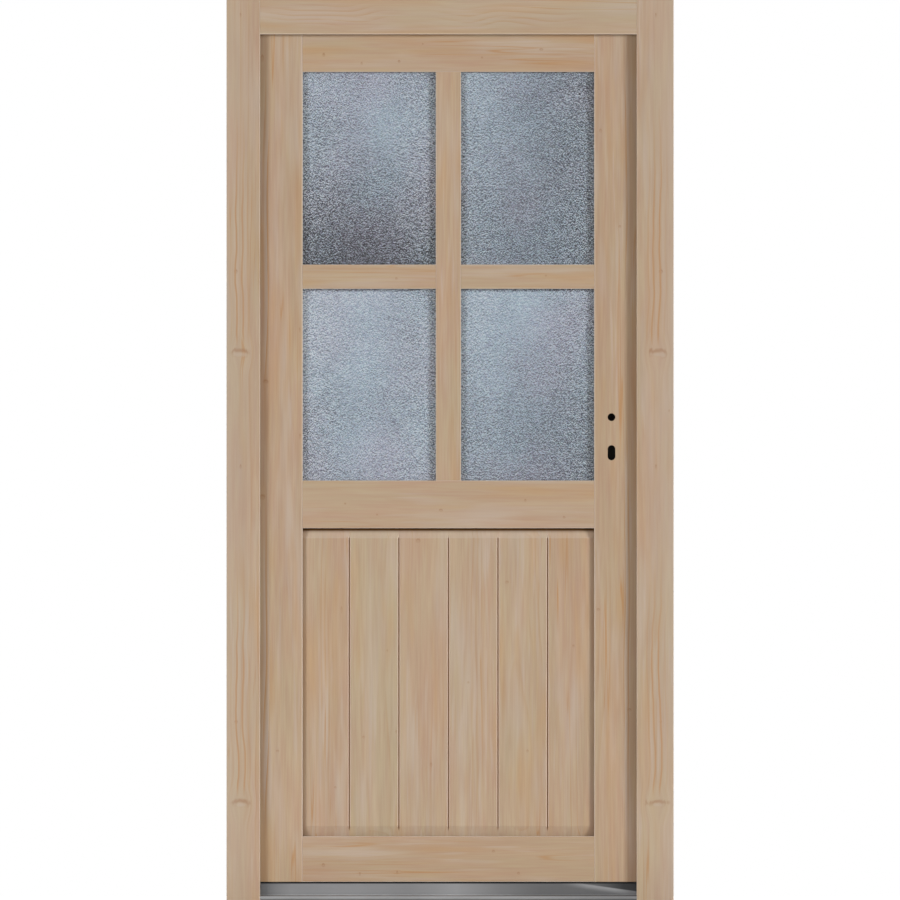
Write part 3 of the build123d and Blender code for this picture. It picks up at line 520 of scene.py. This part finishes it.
def sill_painted_light(add, coords):
    """Painted reflections and shade on the threshold's anodising: dull ends, a bright run, a slanting glint
    and a bright toe.
    """
    low, high = corners("threshold")
    x = add(AXES, {0: coords}, "X")
    z = add(AXES, {0: coords}, "Z")
    share = add(RANGE, {0: x, 1: low.x, 2: high.x})
    # Painted reflections along the threshold: dull at both ends, a bright run before the middle, dull towards
    # the lock jamb
    tone = add(RAMP, {0: share}, stops=[
        (0.035, grey(0.60)), (0.06, grey(0.82)), (0.10, grey(1.0)), (0.40, grey(1.0)), (0.52, grey(1.17)),
        (0.63, grey(0.80)), (0.73, grey(0.58)), (0.94, grey(0.58))])
    # A painted glint slants down towards the lock jamb, and painted shade dulls the metal above it
    fall = add(VECTOR, {0: coords, 1: (GLINT_SLOPE, 0.0, 1.0)}, "Value", operation="DOT_PRODUCT")
    near = add(RANGE, {0: x, 1: 0.73, 2: 0.79, 3: 0.0, 4: 0.62})
    spent = add(RANGE, {0: x, 1: 0.850, 2: 0.885, 3: 1.0, 4: 0.3})
    near = add(MATH, {0: near, 1: spent}, operation="MULTIPLY")
    below = add(RANGE, {0: fall, 1: 0.1334, 2: 0.1450}, interpolation_type="SMOOTHSTEP")
    above = add(RANGE, {0: fall, 1: 0.1454, 2: 0.1475, 3: 1.0, 4: 0.0}, interpolation_type="SMOOTHSTEP")
    glint = add(MATH, {0: below, 1: above}, operation="MULTIPLY")
    tone = add(MATH, {0: glint, 1: near, 2: tone}, operation="MULTIPLY_ADD")
    dull = add(RANGE, {0: x, 1: 0.80, 2: 0.87, 3: 0.0, 4: 0.65})
    above = add(MATH, {0: 1.0, 1: above}, operation="SUBTRACT")
    dull = add(MATH, {0: above, 1: dull}, operation="MULTIPLY")
    dull = add(MATH, {0: 1.0, 1: dull}, operation="SUBTRACT")
    tone = add(MATH, {0: tone, 1: dull}, operation="MULTIPLY")
    # A painted highlight along the toe's edge and painted shade underneath; the crease above it is painted
    # lighter, against its shade
    crease = add(RANGE, {0: z, 1: 0.0162, 2: 0.0142, 3: 1.0, 4: 1.9}, interpolation_type="SMOOTHSTEP")
    tone = add(MATH, {0: tone, 1: crease}, operation="MULTIPLY")
    toe = add(RANGE, {0: z, 1: 0.0122, 2: 0.0132, 3: 1.0, 4: 0.0})
    edge = add(RANGE, {0: z, 1: 0.0050, 2: 0.0078, 3: 0.62, 4: 1.34}, interpolation_type="SMOOTHSTEP")
    even = add(RANGE, {0: share, 1: 0.70, 2: 0.95, 3: 1.0, 4: 0.7})
    edge = add(MATH, {0: edge, 1: even}, operation="MULTIPLY")
    return add(MIX, {0: toe, 2: tone, 3: edge}, 0, data_type="FLOAT")


def matt_skin(name, tone, roughness, speck):
    """A dark matt skin, such as moulded rubber or a blackened case.

    The eye sees no reflection, only a grain of about 1 mm, drawn coarser than a real one so that it shows.
    """
    material, add, cover, coords = start_material(name)
    grain = add(NOISE, {"Vector": coords, "Scale": 700.0, "Detail": 2.0}, "Fac")
    shade = add(RANGE, {0: grain, 3: 1.0 - speck, 4: 1.0 + speck})
    shade = add("ShaderNodeCombineColor", {0: shade, 1: shade, 2: shade})
    body = add(MIX, {0: 1.0, 6: opaque(tone), 7: shade}, 2, data_type="RGBA", blend_type="MULTIPLY")
    bump = add(BUMP, {"Height": grain, "Strength": 0.2, "Distance": 0.0002})
    cover({"Base Color": body, "Normal": bump, "Roughness": roughness})
    return material


def studio_paper():
    """White studio paper: matt, lifted to white where it is seen, so only shadows show on it."""
    material, add, cover, _ = start_material("studio_paper")
    glow = add(MATH, {0: seen_rays(add), 1: 0.72}, operation="MULTIPLY")
    cover({"Base Color": opaque(grey(0.9)), "Roughness": 0.9, "Specular IOR Level": 0.0,
           "Emission Color": opaque(grey(1.0)), "Emission Strength": glow})
    return material


# Mesh building

def finish_piece(mesh_data, name, material, body, replaced=()):
    """Turns a bmesh into a piece that rides on a body."""
    mesh = bpy.data.meshes.new(name)
    mesh_data.to_mesh(mesh)
    mesh_data.free()
    mesh.materials.append(material)
    piece = bpy.data.objects.new(name, mesh)
    bpy.context.scene.collection.objects.link(piece)
    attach(piece, body)
    if replaced:
        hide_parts(*replaced)


def extruded(mesh_data, edges):
    """Extrudes open edges, and returns the new vertices and the edges between them."""
    made = bmesh.ops.extrude_edge_only(mesh_data, edges=edges)["geom"]
    verts = [item for item in made if isinstance(item, bmesh.types.BMVert)]
    both = [item for item in made if isinstance(item, bmesh.types.BMEdge)]
    new = set(verts)
    return verts, [edge for edge in both if new.issuperset(edge.verts)]


def pebbled_pane(name, sizes, seed):
    """A sheet of glass whose front is rolled into small pebbles; its back is flat."""
    low, high = corners(name)
    span = high - low
    across = max(2, round(span.x / sizes.pane_grid))
    up = max(2, round(span.z / sizes.pane_grid))
    sheet = bmesh.new()
    turn = Matrix.Translation((low + high) / 2) @ Matrix.Rotation(math.pi / 2, 4, "X")
    shape = turn @ Matrix.Diagonal((span.x / 2, span.z / 2, 1.0, 1.0))
    bmesh.ops.create_grid(sheet, x_segments=across, y_segments=up, size=1.0, matrix=shape)
    for vert in sheet.verts:
        place = vert.co / sizes.pebble_pitch + Vector((seed * 17.0, 0.0, seed * 5.0))
        crest = 0.5 + 0.8 * noise.noise(place, noise_basis="PERLIN_ORIGINAL")
        crest = min(1.0, max(0.0, crest))
        vert.co.y = low.y + (1.0 - crest) * sizes.pebble_relief
    rim = [edge for edge in sheet.edges if edge.is_boundary]
    for edge in rim:
        for vert in edge.verts:
            vert.co.y = low.y
    for vert in extruded(sheet, rim)[0]:
        vert.co.y = high.y
    bmesh.ops.edgeloop_fill(sheet, edges=[e for e in sheet.edges if e.is_boundary])
    bmesh.ops.recalc_face_normals(sheet, faces=sheet.faces)
    for face in sheet.faces:
        face.smooth = len(face.verts) == 4 and abs(face.normal.y) > 0.3
    return sheet


# Rings of a screw head from its rim inwards, as a share of its radius and a height: the last two are the
# socket, whose lobes stand out by a share of the ring. Behind the rim the head narrows to its shank.
HEAD_RINGS = ((0.86, 0.12 * MM), (0.46, 0.15 * MM), (0.42, -1.2 * MM))
SOCKET = 0.5
LOBES = 6
LOBE_SHARE = 0.14
SHANK_SHARE = 0.6
SHANK_HEIGHT = -1.6 * MM


def screw_heads(places, outward, radius, sides):
    """Countersunk screw heads with a six-lobed drive, set level with the plate they hold."""
    heads = bmesh.new()
    turn = Vector((0, 0, 1)).rotation_difference(Vector(outward)).to_matrix().to_4x4()
    for place in places:
        head = bmesh.new()
        bmesh.ops.create_circle(head, cap_ends=False, segments=sides, radius=radius)
        edges = head.edges[:]
        for share, height in HEAD_RINGS:
            verts, edges = extruded(head, edges)
            lobes = LOBE_SHARE if share < SOCKET else 0.0
            for vert in verts:
                angle = math.atan2(vert.co.y, vert.co.x)
                reach = radius * share * (1.0 + lobes * math.cos(LOBES * angle))
                vert.co = Vector((math.cos(angle) * reach, math.sin(angle) * reach, height))
        bmesh.ops.edgeloop_fill(head, edges=edges)
        rim = [e for e in head.edges if e.is_boundary]
        for vert in extruded(head, rim)[0]:
            vert.co = Vector((vert.co.x * SHANK_SHARE, vert.co.y * SHANK_SHARE, SHANK_HEIGHT))
        bmesh.ops.edgeloop_fill(head, edges=[e for e in head.edges if e.is_boundary])
        bmesh.ops.recalc_face_normals(head, faces=head.faces)
        bmesh.ops.transform(head, matrix=Matrix.Translation(place) @ turn, verts=head.verts)
        spare = bpy.data.meshes.new("screw")
        head.to_mesh(spare)
        head.free()
        heads.from_mesh(spare)
        bpy.data.meshes.remove(spare)
    return heads


# Pieces

# Half width in metres from which a knot is broad, with a pale middle
BROAD_KNOT = 0.015

# Knots as the place of each across and up the door in metres, half width, half height and strength
KNOTS = {
    "hinge_jamb": [(0.030, 1.203, 0.024, 0.011, 0.62), (0.031, 0.953, 0.002, 0.006, 0.6),
                   (0.031, 0.216, 0.024, 0.011, 0.64), (0.031, 1.943, 0.002, 0.006, 0.6),
                   (0.021, 1.381, 0.004, 0.005, 0.7), (0.021, 0.394, 0.004, 0.005, 0.7)],
    "lock_jamb": [(0.945, 1.203, 0.024, 0.011, 0.62), (0.941, 0.953, 0.002, 0.006, 0.6),
                  (0.944, 0.216, 0.024, 0.011, 0.64), (0.941, 1.943, 0.002, 0.006, 0.6),
                  (0.952, 1.381, 0.004, 0.005, 0.7), (0.952, 0.394, 0.004, 0.005, 0.7),
                  (0.970, 1.076, 0.002, 0.005, 0.5)],
    "hinge_stile": [(0.086, 1.140, 0.006, 0.005, 0.5), (0.079, 0.887, 0.006, 0.006, 0.45),
                    (0.078, 1.850, 0.003, 0.008, 0.45), (0.161, 1.020, 0.002, 0.006, 0.4),
                    (0.112, 0.330, 0.004, 0.003, 0.35), (0.160, 1.253, 0.002, 0.007, 0.4)],
    "lock_stile": [(0.815, 0.640, 0.004, 0.004, 0.4), (0.862, 1.480, 0.003, 0.004, 0.4),
                   (0.820, 1.690, 0.003, 0.005, 0.4), (0.884, 0.420, 0.004, 0.004, 0.4)],
    "top_rail": [(0.213, 1.857, 0.004, 0.005, 0.6), (0.296, 1.838, 0.003, 0.004, 0.5),
                 (0.378, 1.842, 0.003, 0.004, 0.6), (0.430, 1.880, 0.002, 0.002, 0.5),
                 (0.560, 1.850, 0.003, 0.003, 0.5), (0.690, 1.868, 0.004, 0.003, 0.5)],
    "lock_rail": [(0.260, 0.872, 0.003, 0.003, 0.5), (0.330, 0.848, 0.003, 0.003, 0.45),
                  (0.470, 0.858, 0.004, 0.003, 0.5), (0.655, 0.880, 0.003, 0.004, 0.5),
                  (0.740, 0.842, 0.003, 0.003, 0.45)],
    "bottom_rail": [(0.212, 0.080, 0.003, 0.004, 0.55), (0.292, 0.060, 0.002, 0.004, 0.5),
                    (0.374, 0.064, 0.003, 0.004, 0.55), (0.585, 0.110, 0.003, 0.003, 0.5),
                    (0.640, 0.062, 0.003, 0.003, 0.5)],
    "left_glazing_bar": [(0.372, 1.366, 0.003, 0.003, 0.45)],
    "right_glazing_bar": [(0.700, 1.372, 0.003, 0.003, 0.45)],
    "panel_board_1": [(0.238, 0.250, 0.003, 0.003, 0.4), (0.252, 0.640, 0.002, 0.008, 0.3)],
    "panel_board_2": [(0.352, 0.550, 0.002, 0.003, 0.4), (0.300, 0.360, 0.004, 0.004, 0.3),
                      (0.372, 0.372, 0.003, 0.004, 0.35)],
    "panel_board_3": [(0.420, 0.791, 0.006, 0.005, 0.4), (0.448, 0.300, 0.003, 0.006, 0.3)],
    "panel_board_4": [(0.530, 0.480, 0.003, 0.004, 0.35)],
    "panel_board_5": [(0.615, 0.700, 0.004, 0.004, 0.35), (0.660, 0.330, 0.003, 0.004, 0.35)],
    "panel_board_6": [(0.760, 0.560, 0.003, 0.004, 0.35)],
}

# Flames above the knots: place across and up the door in metres, half width, half height and strength
FLAMES = {
    "hinge_jamb": [(0.034, 1.400, 0.024, 0.215, 0.25), (0.034, 0.420, 0.024, 0.225, 0.25)],
    "lock_jamb": [(0.944, 1.400, 0.024, 0.215, 0.25), (0.944, 0.420, 0.024, 0.225, 0.25)],
    "frame_head": [(0.220, 1.944, 0.160, 0.030, 0.4), (0.620, 1.940, 0.180, 0.030, 0.35)],
    "hinge_stile": [(0.0865, 1.450, 0.010, 0.450, 0.9), (0.0865, 0.500, 0.010, 0.450, 0.9)],
    "lock_stile": [(0.8775, 0.600, 0.010, 0.560, 0.9), (0.8775, 1.600, 0.009, 0.300, 0.7)],
    "panel_board_2": [(0.315, 0.480, 0.006, 0.400, 0.6)],
    "panel_board_4": [(0.556, 0.480, 0.012, 0.300, 0.5)],
}

# Heights of the jambs' broad knots, and the resin lines above them: place across the door and strength
BROAD_KNOT_HEIGHTS = (0.216, 1.203)
RESIN_LINES = {
    "hinge_jamb": [(0.023, 1.00), (0.037, 0.80), (0.048, 0.32), (0.011, 0.26)],
    "lock_jamb": [(0.950, 1.00), (0.936, 0.80), (0.925, 0.32), (0.963, 0.26)],
}

# A resin line's full and fading half width and how far it sways, and where it begins and fades above a knot
RESIN_CORE = 0.7 * MM
RESIN_RIM = 2.6 * MM
RESIN_SWAY = 4.0 * MM
RESIN_BEGINS = (0.012, 0.040)
RESIN_ENDS = (0.30, 0.56)

# Timbers whose rings lie flat behind the face
FLAT_CUT = ("panel_board_2", "panel_board_5", "lock_rail")

# How far the rings are drawn out along the grain, how much they wander, and their width to the usual one
USUAL_WAVE = (0.2, 9.0, 1.0)
WAVES = {
    "frame_head": (0.7, 15.0, 1.3),
    "hinge_jamb": (0.15, 7.0, 1.5),
    "lock_jamb": (0.15, 7.0, 1.5),
    "top_rail": (0.4, 10.0, 1.0),
    "bottom_rail": (0.4, 10.0, 1.0),
}

# Heights between which a joint's painted highlight begins, and depths between which that starts outside, in
# metres
JOINT_TOP = (0.7960, 0.7990)
JOINT_OUTSIDE = (0.010, 0.005)

# Painted shade in the panel's corners and where the jambs' shadows fall on the stiles, painted highlights
# along edges, and the frame's paler outer side: axis, where strongest, where it ends, strength and colour
MARKS = {
    "panel_board_1": [(0, 0.1665, 0.180, 0.30, "wood_painted_shade")],
    "panel_board_6": [(0, 0.8060, 0.793, 0.30, "wood_painted_shade")],
    "hinge_stile": [(0, 0.0735, 0.094, 0.14, "wood_painted_shade"), (0, 0.1662, 0.1625, 0.24, "wood_painted_highlight")],
    "lock_stile": [(0, 0.8990, 0.868, 0.20, "wood_painted_shade"), (0, 0.8063, 0.8105, 0.20, "wood_painted_highlight")],
    "frame_head": [(2, 1.9800, 1.8800, 0.18, "wood_pale"), (2, 1.9010, 1.9050, 0.30, "wood_painted_highlight")],
    "hinge_jamb": [(0, 0.0000, 0.0900, 0.34, "wood_pale")],
    "lock_jamb": [(0, 0.9800, 0.8850, 0.34, "wood_pale")],
}
# Painted shade on every board: dark under the lock rail and faint at the foot
BOARD_MARKS = [
    (2, 0.8150, 0.8110, 0.97, "wood_painted_shade"), (2, 0.8150, 0.8060, 0.55, "wood_painted_shade"),
    (2, 0.1645, 0.1665, 0.05, "wood_painted_shade"),
]

# Each timber's grain, how olive it is and how dark
TIMBERS = {
    "hinge_jamb": ("Z", 0.45, 0.0), "lock_jamb": ("Z", 0.5, 0.0), "hinge_stile": ("Z", 0.4, 0.10),
    "lock_stile": ("Z", 0.4, 0.12), "upright_glazing_bar": ("Z", 0.5, 0.0), "upright_beads": ("Z", 0.4, 0.1),
    "panel_board_1": ("Z", 0.35, 0.0), "panel_board_2": ("Z", 0.8, 0.0), "panel_board_3": ("Z", 0.45, 0.0),
    "panel_board_4": ("Z", 0.55, 0.0), "panel_board_5": ("Z", 0.6, 0.0), "panel_board_6": ("Z", 0.35, 0.04),
    "frame_head": ("X", 0.6, 0.0), "top_rail": ("X", 0.45, 0.10), "lock_rail": ("X", 0.45, 0.04),
    "bottom_rail": ("X", 0.4, 0.20), "left_glazing_bar": ("X", 0.45, 0.04),
    "right_glazing_bar": ("X", 0.45, 0.04), "cross_beads": ("X", 0.4, 0.1),
}


class SIDE_DOOR_OT_timber(bpy.types.Operator):
    """Give the frame, the leaf's timbers, the boards and the beads their planed pine"""
    bl_idname = "side_door.timber"
    bl_label = "Dress the timber"

    def execute(self, context):
        for seed, (name, (grain, hue, tone)) in enumerate(TIMBERS.items(), start=1):
            dress(name, pine(name, grain, seed, hue, tone))
        return {"FINISHED"}


class SIDE_DOOR_OT_glazing(bpy.types.Operator):
    """Roll the outer panes into patterned glass and dress the clear panes and the spacers"""
    bl_idname = "side_door.glazing"
    bl_label = "Make the glazing"

    def execute(self, context):
        sizes = context.scene.side_door_sizes
        # Level, rise, lean, sag and twist of each pane's painted reflections, its coolness, the painted shade
        # along its top edge and the strength of its painted glitter
        panes = {
            "upper_left_pane": (0.545, 0.365, 0.065, 0.29, -0.07, 0.02, -0.03, 0.95),
            "upper_right_pane": (0.470, 0.07, -0.145, 0.0, -0.08, 0.06, 0.0, 0.80),
            "lower_left_pane": (0.705, 0.06, -0.03, 0.0, -0.06, 0.00, 0.36, 1.0),
            "lower_right_pane": (0.580, 0.16, -0.12, 0.0, 0.02, 0.12, 0.36, 0.80),
        }
        for seed, (name, mood) in enumerate(panes.items(), start=1):
            material = patterned_glass(name, *mood)
            sheet = pebbled_pane(name, sizes, seed)
            finish_piece(sheet, "patterned_" + name, material, "leaf", [name])
        dress("inner_panes", float_glass())
        dress("pane_spacers", metal("mill_aluminium", linear("#9A9B9D"), "X", roughness=0.35, brush=0.1))
        return {"FINISHED"}


class SIDE_DOOR_OT_threshold(bpy.types.Operator):
    """Dress the aluminium threshold and the rubber seals"""
    bl_idname = "side_door.threshold"
    bl_label = "Dress the threshold and seals"

    def execute(self, context):
        colours = context.scene.side_door_colours
        sill = metal("anodised_aluminium", colours.aluminium, "X", roughness=0.42, brush=0.12,
                     shade=sill_painted_light)
        dress("threshold", sill)
        rubber = matt_skin("seal_rubber", colours.rubber, roughness=0.75, speck=0.3)
        for name in ("hinge_jamb_seal", "lock_jamb_seal", "head_seal", "threshold_seal"):
            dress(name, rubber)
        return {"FINISHED"}


class SIDE_DOOR_OT_hinges(bpy.types.Operator):
    """Dress the drill-in hinges"""
    bl_idname = "side_door.hinges"
    bl_label = "Dress the hinges"

    def execute(self, context):
        tone = context.scene.side_door_colours.zinc
        zinc = metal("zinc_plated_steel", tone, "Z", roughness=0.32, brush=0.05)
        for place in ("lower", "middle", "upper"):
            for half in ("frame_half", "leaf_half", "pin"):
                dress(f"{place}_hinge_{half}", zinc)
        return {"FINISHED"}


# How far the end screws of the lock's plates are from the plates' ends
FACEPLATE_INSET = 12.0 * MM
STRIKE_INSET = 14.0 * MM


class SIDE_DOOR_OT_lock(bpy.types.Operator):
    """Dress the mortise lock and its strike plate, and screw both plates in place"""
    bl_idname = "side_door.lock"
    bl_label = "Fit the lock"

    def execute(self, context):
        colours = context.scene.side_door_colours
        sizes = context.scene.side_door_sizes
        steel = metal("brushed_stainless_steel", colours.stainless, "Z", roughness=0.34, brush=0.25)
        zinc = metal("bright_zinc", colours.zinc, "X", roughness=0.3, brush=0.05)
        for name in ("lock_faceplate", "strike_plate", "latch_bolt", "dead_bolt"):
            dress(name, steel)
        # Blackened steel made near black, so that the holes into the lock read as deep shade: partly the
        # case's own colour, partly painted shade
        case_black_and_shade = matt_skin("blackened_steel_and_hole_shade", linear("#030304"), roughness=1.0, speck=0.2)
        dress("lock_case", case_black_and_shade)

        low, high = corners("lock_faceplate")
        middle = (low.y + high.y) / 2
        heights = (low.z + FACEPLATE_INSET, high.z - FACEPLATE_INSET)
        places = [Vector((high.x, middle, z)) for z in heights]
        heads = screw_heads(places, (1, 0, 0), sizes.screw_radius, sizes.screw_sides)
        finish_piece(heads, "faceplate_screws", zinc, "leaf")

        low, high = corners("strike_plate")
        middle = (low.y + high.y) / 2
        heights = (low.z + STRIKE_INSET, (low.z + high.z) / 2, high.z - STRIKE_INSET)
        places = [Vector((low.x, middle, z)) for z in heights]
        heads = screw_heads(places, (-1, 0, 0), sizes.screw_radius, sizes.screw_sides)
        finish_piece(heads, "strike_plate_screws", zinc, "frame")
        return {"FINISHED"}


# Heights of the frame's screws, and how deep in the rebates they are, in metres
FIXING_HEIGHTS = (0.36, 0.78, 1.33, 1.80)
FIXING_DEPTH = 0.022


class SIDE_DOOR_OT_fixings(bpy.types.Operator):
    """Screw the frame to the wall through the rebates of both jambs"""
    bl_idname = "side_door.fixings"
    bl_label = "Fit the frame's screws"

    def execute(self, context):
        sizes = context.scene.side_door_sizes
        zinc = metal("yellow_zinc", linear("#B5A06A"), "X", roughness=0.3, brush=0.05)
        low, high = corners("threshold")
        rebates = {"hinge_jamb": (low.x, (1, 0, 0)), "lock_jamb": (high.x, (-1, 0, 0))}
        for name, (x, outward) in rebates.items():
            places = [Vector((x, FIXING_DEPTH, z)) for z in FIXING_HEIGHTS]
            heads = screw_heads(places, outward, sizes.fixing_radius, sizes.screw_sides)
            finish_piece(heads, name + "_fixing_screws", zinc, "frame")
        return {"FINISHED"}


# Light of the world on the outside and, brighter, on the inside of the door
WORLD_OUTSIDE = (0.185, 0.138, 0.105)
WORLD_INSIDE = grey(0.8)

# Suns by name, with azimuth and elevation in degrees and strength, how wide they look and their colour
SUNS = (("key_from_right", 49, 5.2, 1.97), ("fill_from_left", -42, 5.2, 1.42))
SUN_WIDTH = 17
SUN_COLOUR = (0.953, 0.983, 1.0)

# The floor's middle and half sizes, in metres
FLOOR_MIDDLE = (0.49, -0.9, -0.0005)
FLOOR_HALF = (3.0, 1.3)

# The camera stands far off, so that edges one behind the other stay in line: its distance, the point that it
# looks at, the width that it sees there and how far it sees, in metres
CAMERA_DISTANCE = 36.0
CAMERA_AIM = (0.4898, -0.034, 0.99)
VIEW_WIDTH = 1.9723
VIEW_REACH = 100.0


class SIDE_DOOR_OT_stage(bpy.types.Operator):
    """Set up the pale floor, the soft light and the camera that looks straight at the outside"""
    bl_idname = "side_door.stage"
    bl_label = "Set the stage"

    def execute(self, context):
        scene = context.scene
        scene.view_settings.view_transform = "Standard"

        world = bpy.data.worlds.new("white_studio")
        world.use_nodes = True
        scene.world = world
        add = partial(node, world.node_tree)
        ahead = add(AXES, {0: add("ShaderNodeTexCoord", out="Generated")}, "Y")
        soft = add(RAMP, {0: ahead}, stops=[(0.0, WORLD_OUTSIDE), (0.6, WORLD_INSIDE)])
        level = add(MIX, {0: seen_rays(add), 6: soft, 7: opaque(grey(1.0))}, 2, data_type="RGBA")
        world.node_tree.links.new(level, world.node_tree.nodes["Background"].inputs["Color"])

        for name, azimuth, elevation, power in SUNS:
            lamp = bpy.data.lights.new(name, "SUN")
            lamp.energy = power
            lamp.angle = math.radians(SUN_WIDTH)
            lamp.color = SUN_COLOUR
            sun = bpy.data.objects.new(name, lamp)
            scene.collection.objects.link(sun)
            side = math.radians(azimuth)
            rise = math.radians(elevation)
            towards = Vector((-math.sin(side), math.cos(side), -math.tan(rise)))
            sun.rotation_euler = towards.to_track_quat("-Z", "Y").to_euler()

        floor = bmesh.new()
        place = Matrix.Translation(FLOOR_MIDDLE) @ Matrix.Diagonal((*FLOOR_HALF, 1.0, 1.0))
        bmesh.ops.create_grid(floor, x_segments=1, y_segments=1, size=1.0, matrix=place)
        mesh = bpy.data.meshes.new("studio_floor")
        floor.to_mesh(mesh)
        floor.free()
        mesh.materials.append(studio_paper())
        ground = bpy.data.objects.new("studio_floor", mesh)
        scene.collection.objects.link(ground)

        camera = bpy.data.cameras.new("camera")
        camera.lens = camera.sensor_width * CAMERA_DISTANCE / VIEW_WIDTH
        camera.clip_end = VIEW_REACH
        viewer = bpy.data.objects.new("camera", camera)
        x, y, z = CAMERA_AIM
        viewer.location = (x, y - CAMERA_DISTANCE, z)
        viewer.rotation_euler = (math.pi / 2, 0.0, 0.0)
        scene.collection.objects.link(viewer)
        scene.camera = viewer
        return {"FINISHED"}


OPERATORS = (SIDE_DOOR_OT_timber, SIDE_DOOR_OT_glazing, SIDE_DOOR_OT_threshold, SIDE_DOOR_OT_hinges,
             SIDE_DOOR_OT_lock, SIDE_DOOR_OT_fixings, SIDE_DOOR_OT_stage)


class SIDE_DOOR_PT_panel(bpy.types.Panel):
    """The door's steps and settings in the sidebar"""
    bl_idname = "SIDE_DOOR_PT_panel"
    bl_label = "Side Door"
    bl_space_type = "VIEW_3D"
    bl_region_type = "UI"
    bl_category = "Side Door"

    def draw(self, context):
        for operator in OPERATORS:
            self.layout.operator(operator.bl_idname)
        for group in (context.scene.side_door_sizes, context.scene.side_door_colours):
            box = self.layout.box()
            for name in group.bl_rna.properties.keys():
                if name not in ("rna_type", "name"):
                    box.prop(group, name)


CLASSES = (SideDoorColours, SideDoorSizes, *OPERATORS, SIDE_DOOR_PT_panel)


def register():
    for item in CLASSES:
        bpy.utils.register_class(item)
    bpy.types.Scene.side_door_colours = PointerProperty(type=SideDoorColours)
    bpy.types.Scene.side_door_sizes = PointerProperty(type=SideDoorSizes)


def unregister():
    del bpy.types.Scene.side_door_sizes
    del bpy.types.Scene.side_door_colours
    for item in reversed(CLASSES):
        bpy.utils.unregister_class(item)


def main():
    register()
    bpy.ops.side_door.timber()
    bpy.ops.side_door.glazing()
    bpy.ops.side_door.threshold()
    bpy.ops.side_door.hinges()
    bpy.ops.side_door.lock()
    bpy.ops.side_door.fixings()
    bpy.ops.side_door.stage()


if __name__ == "__main__":
    main()
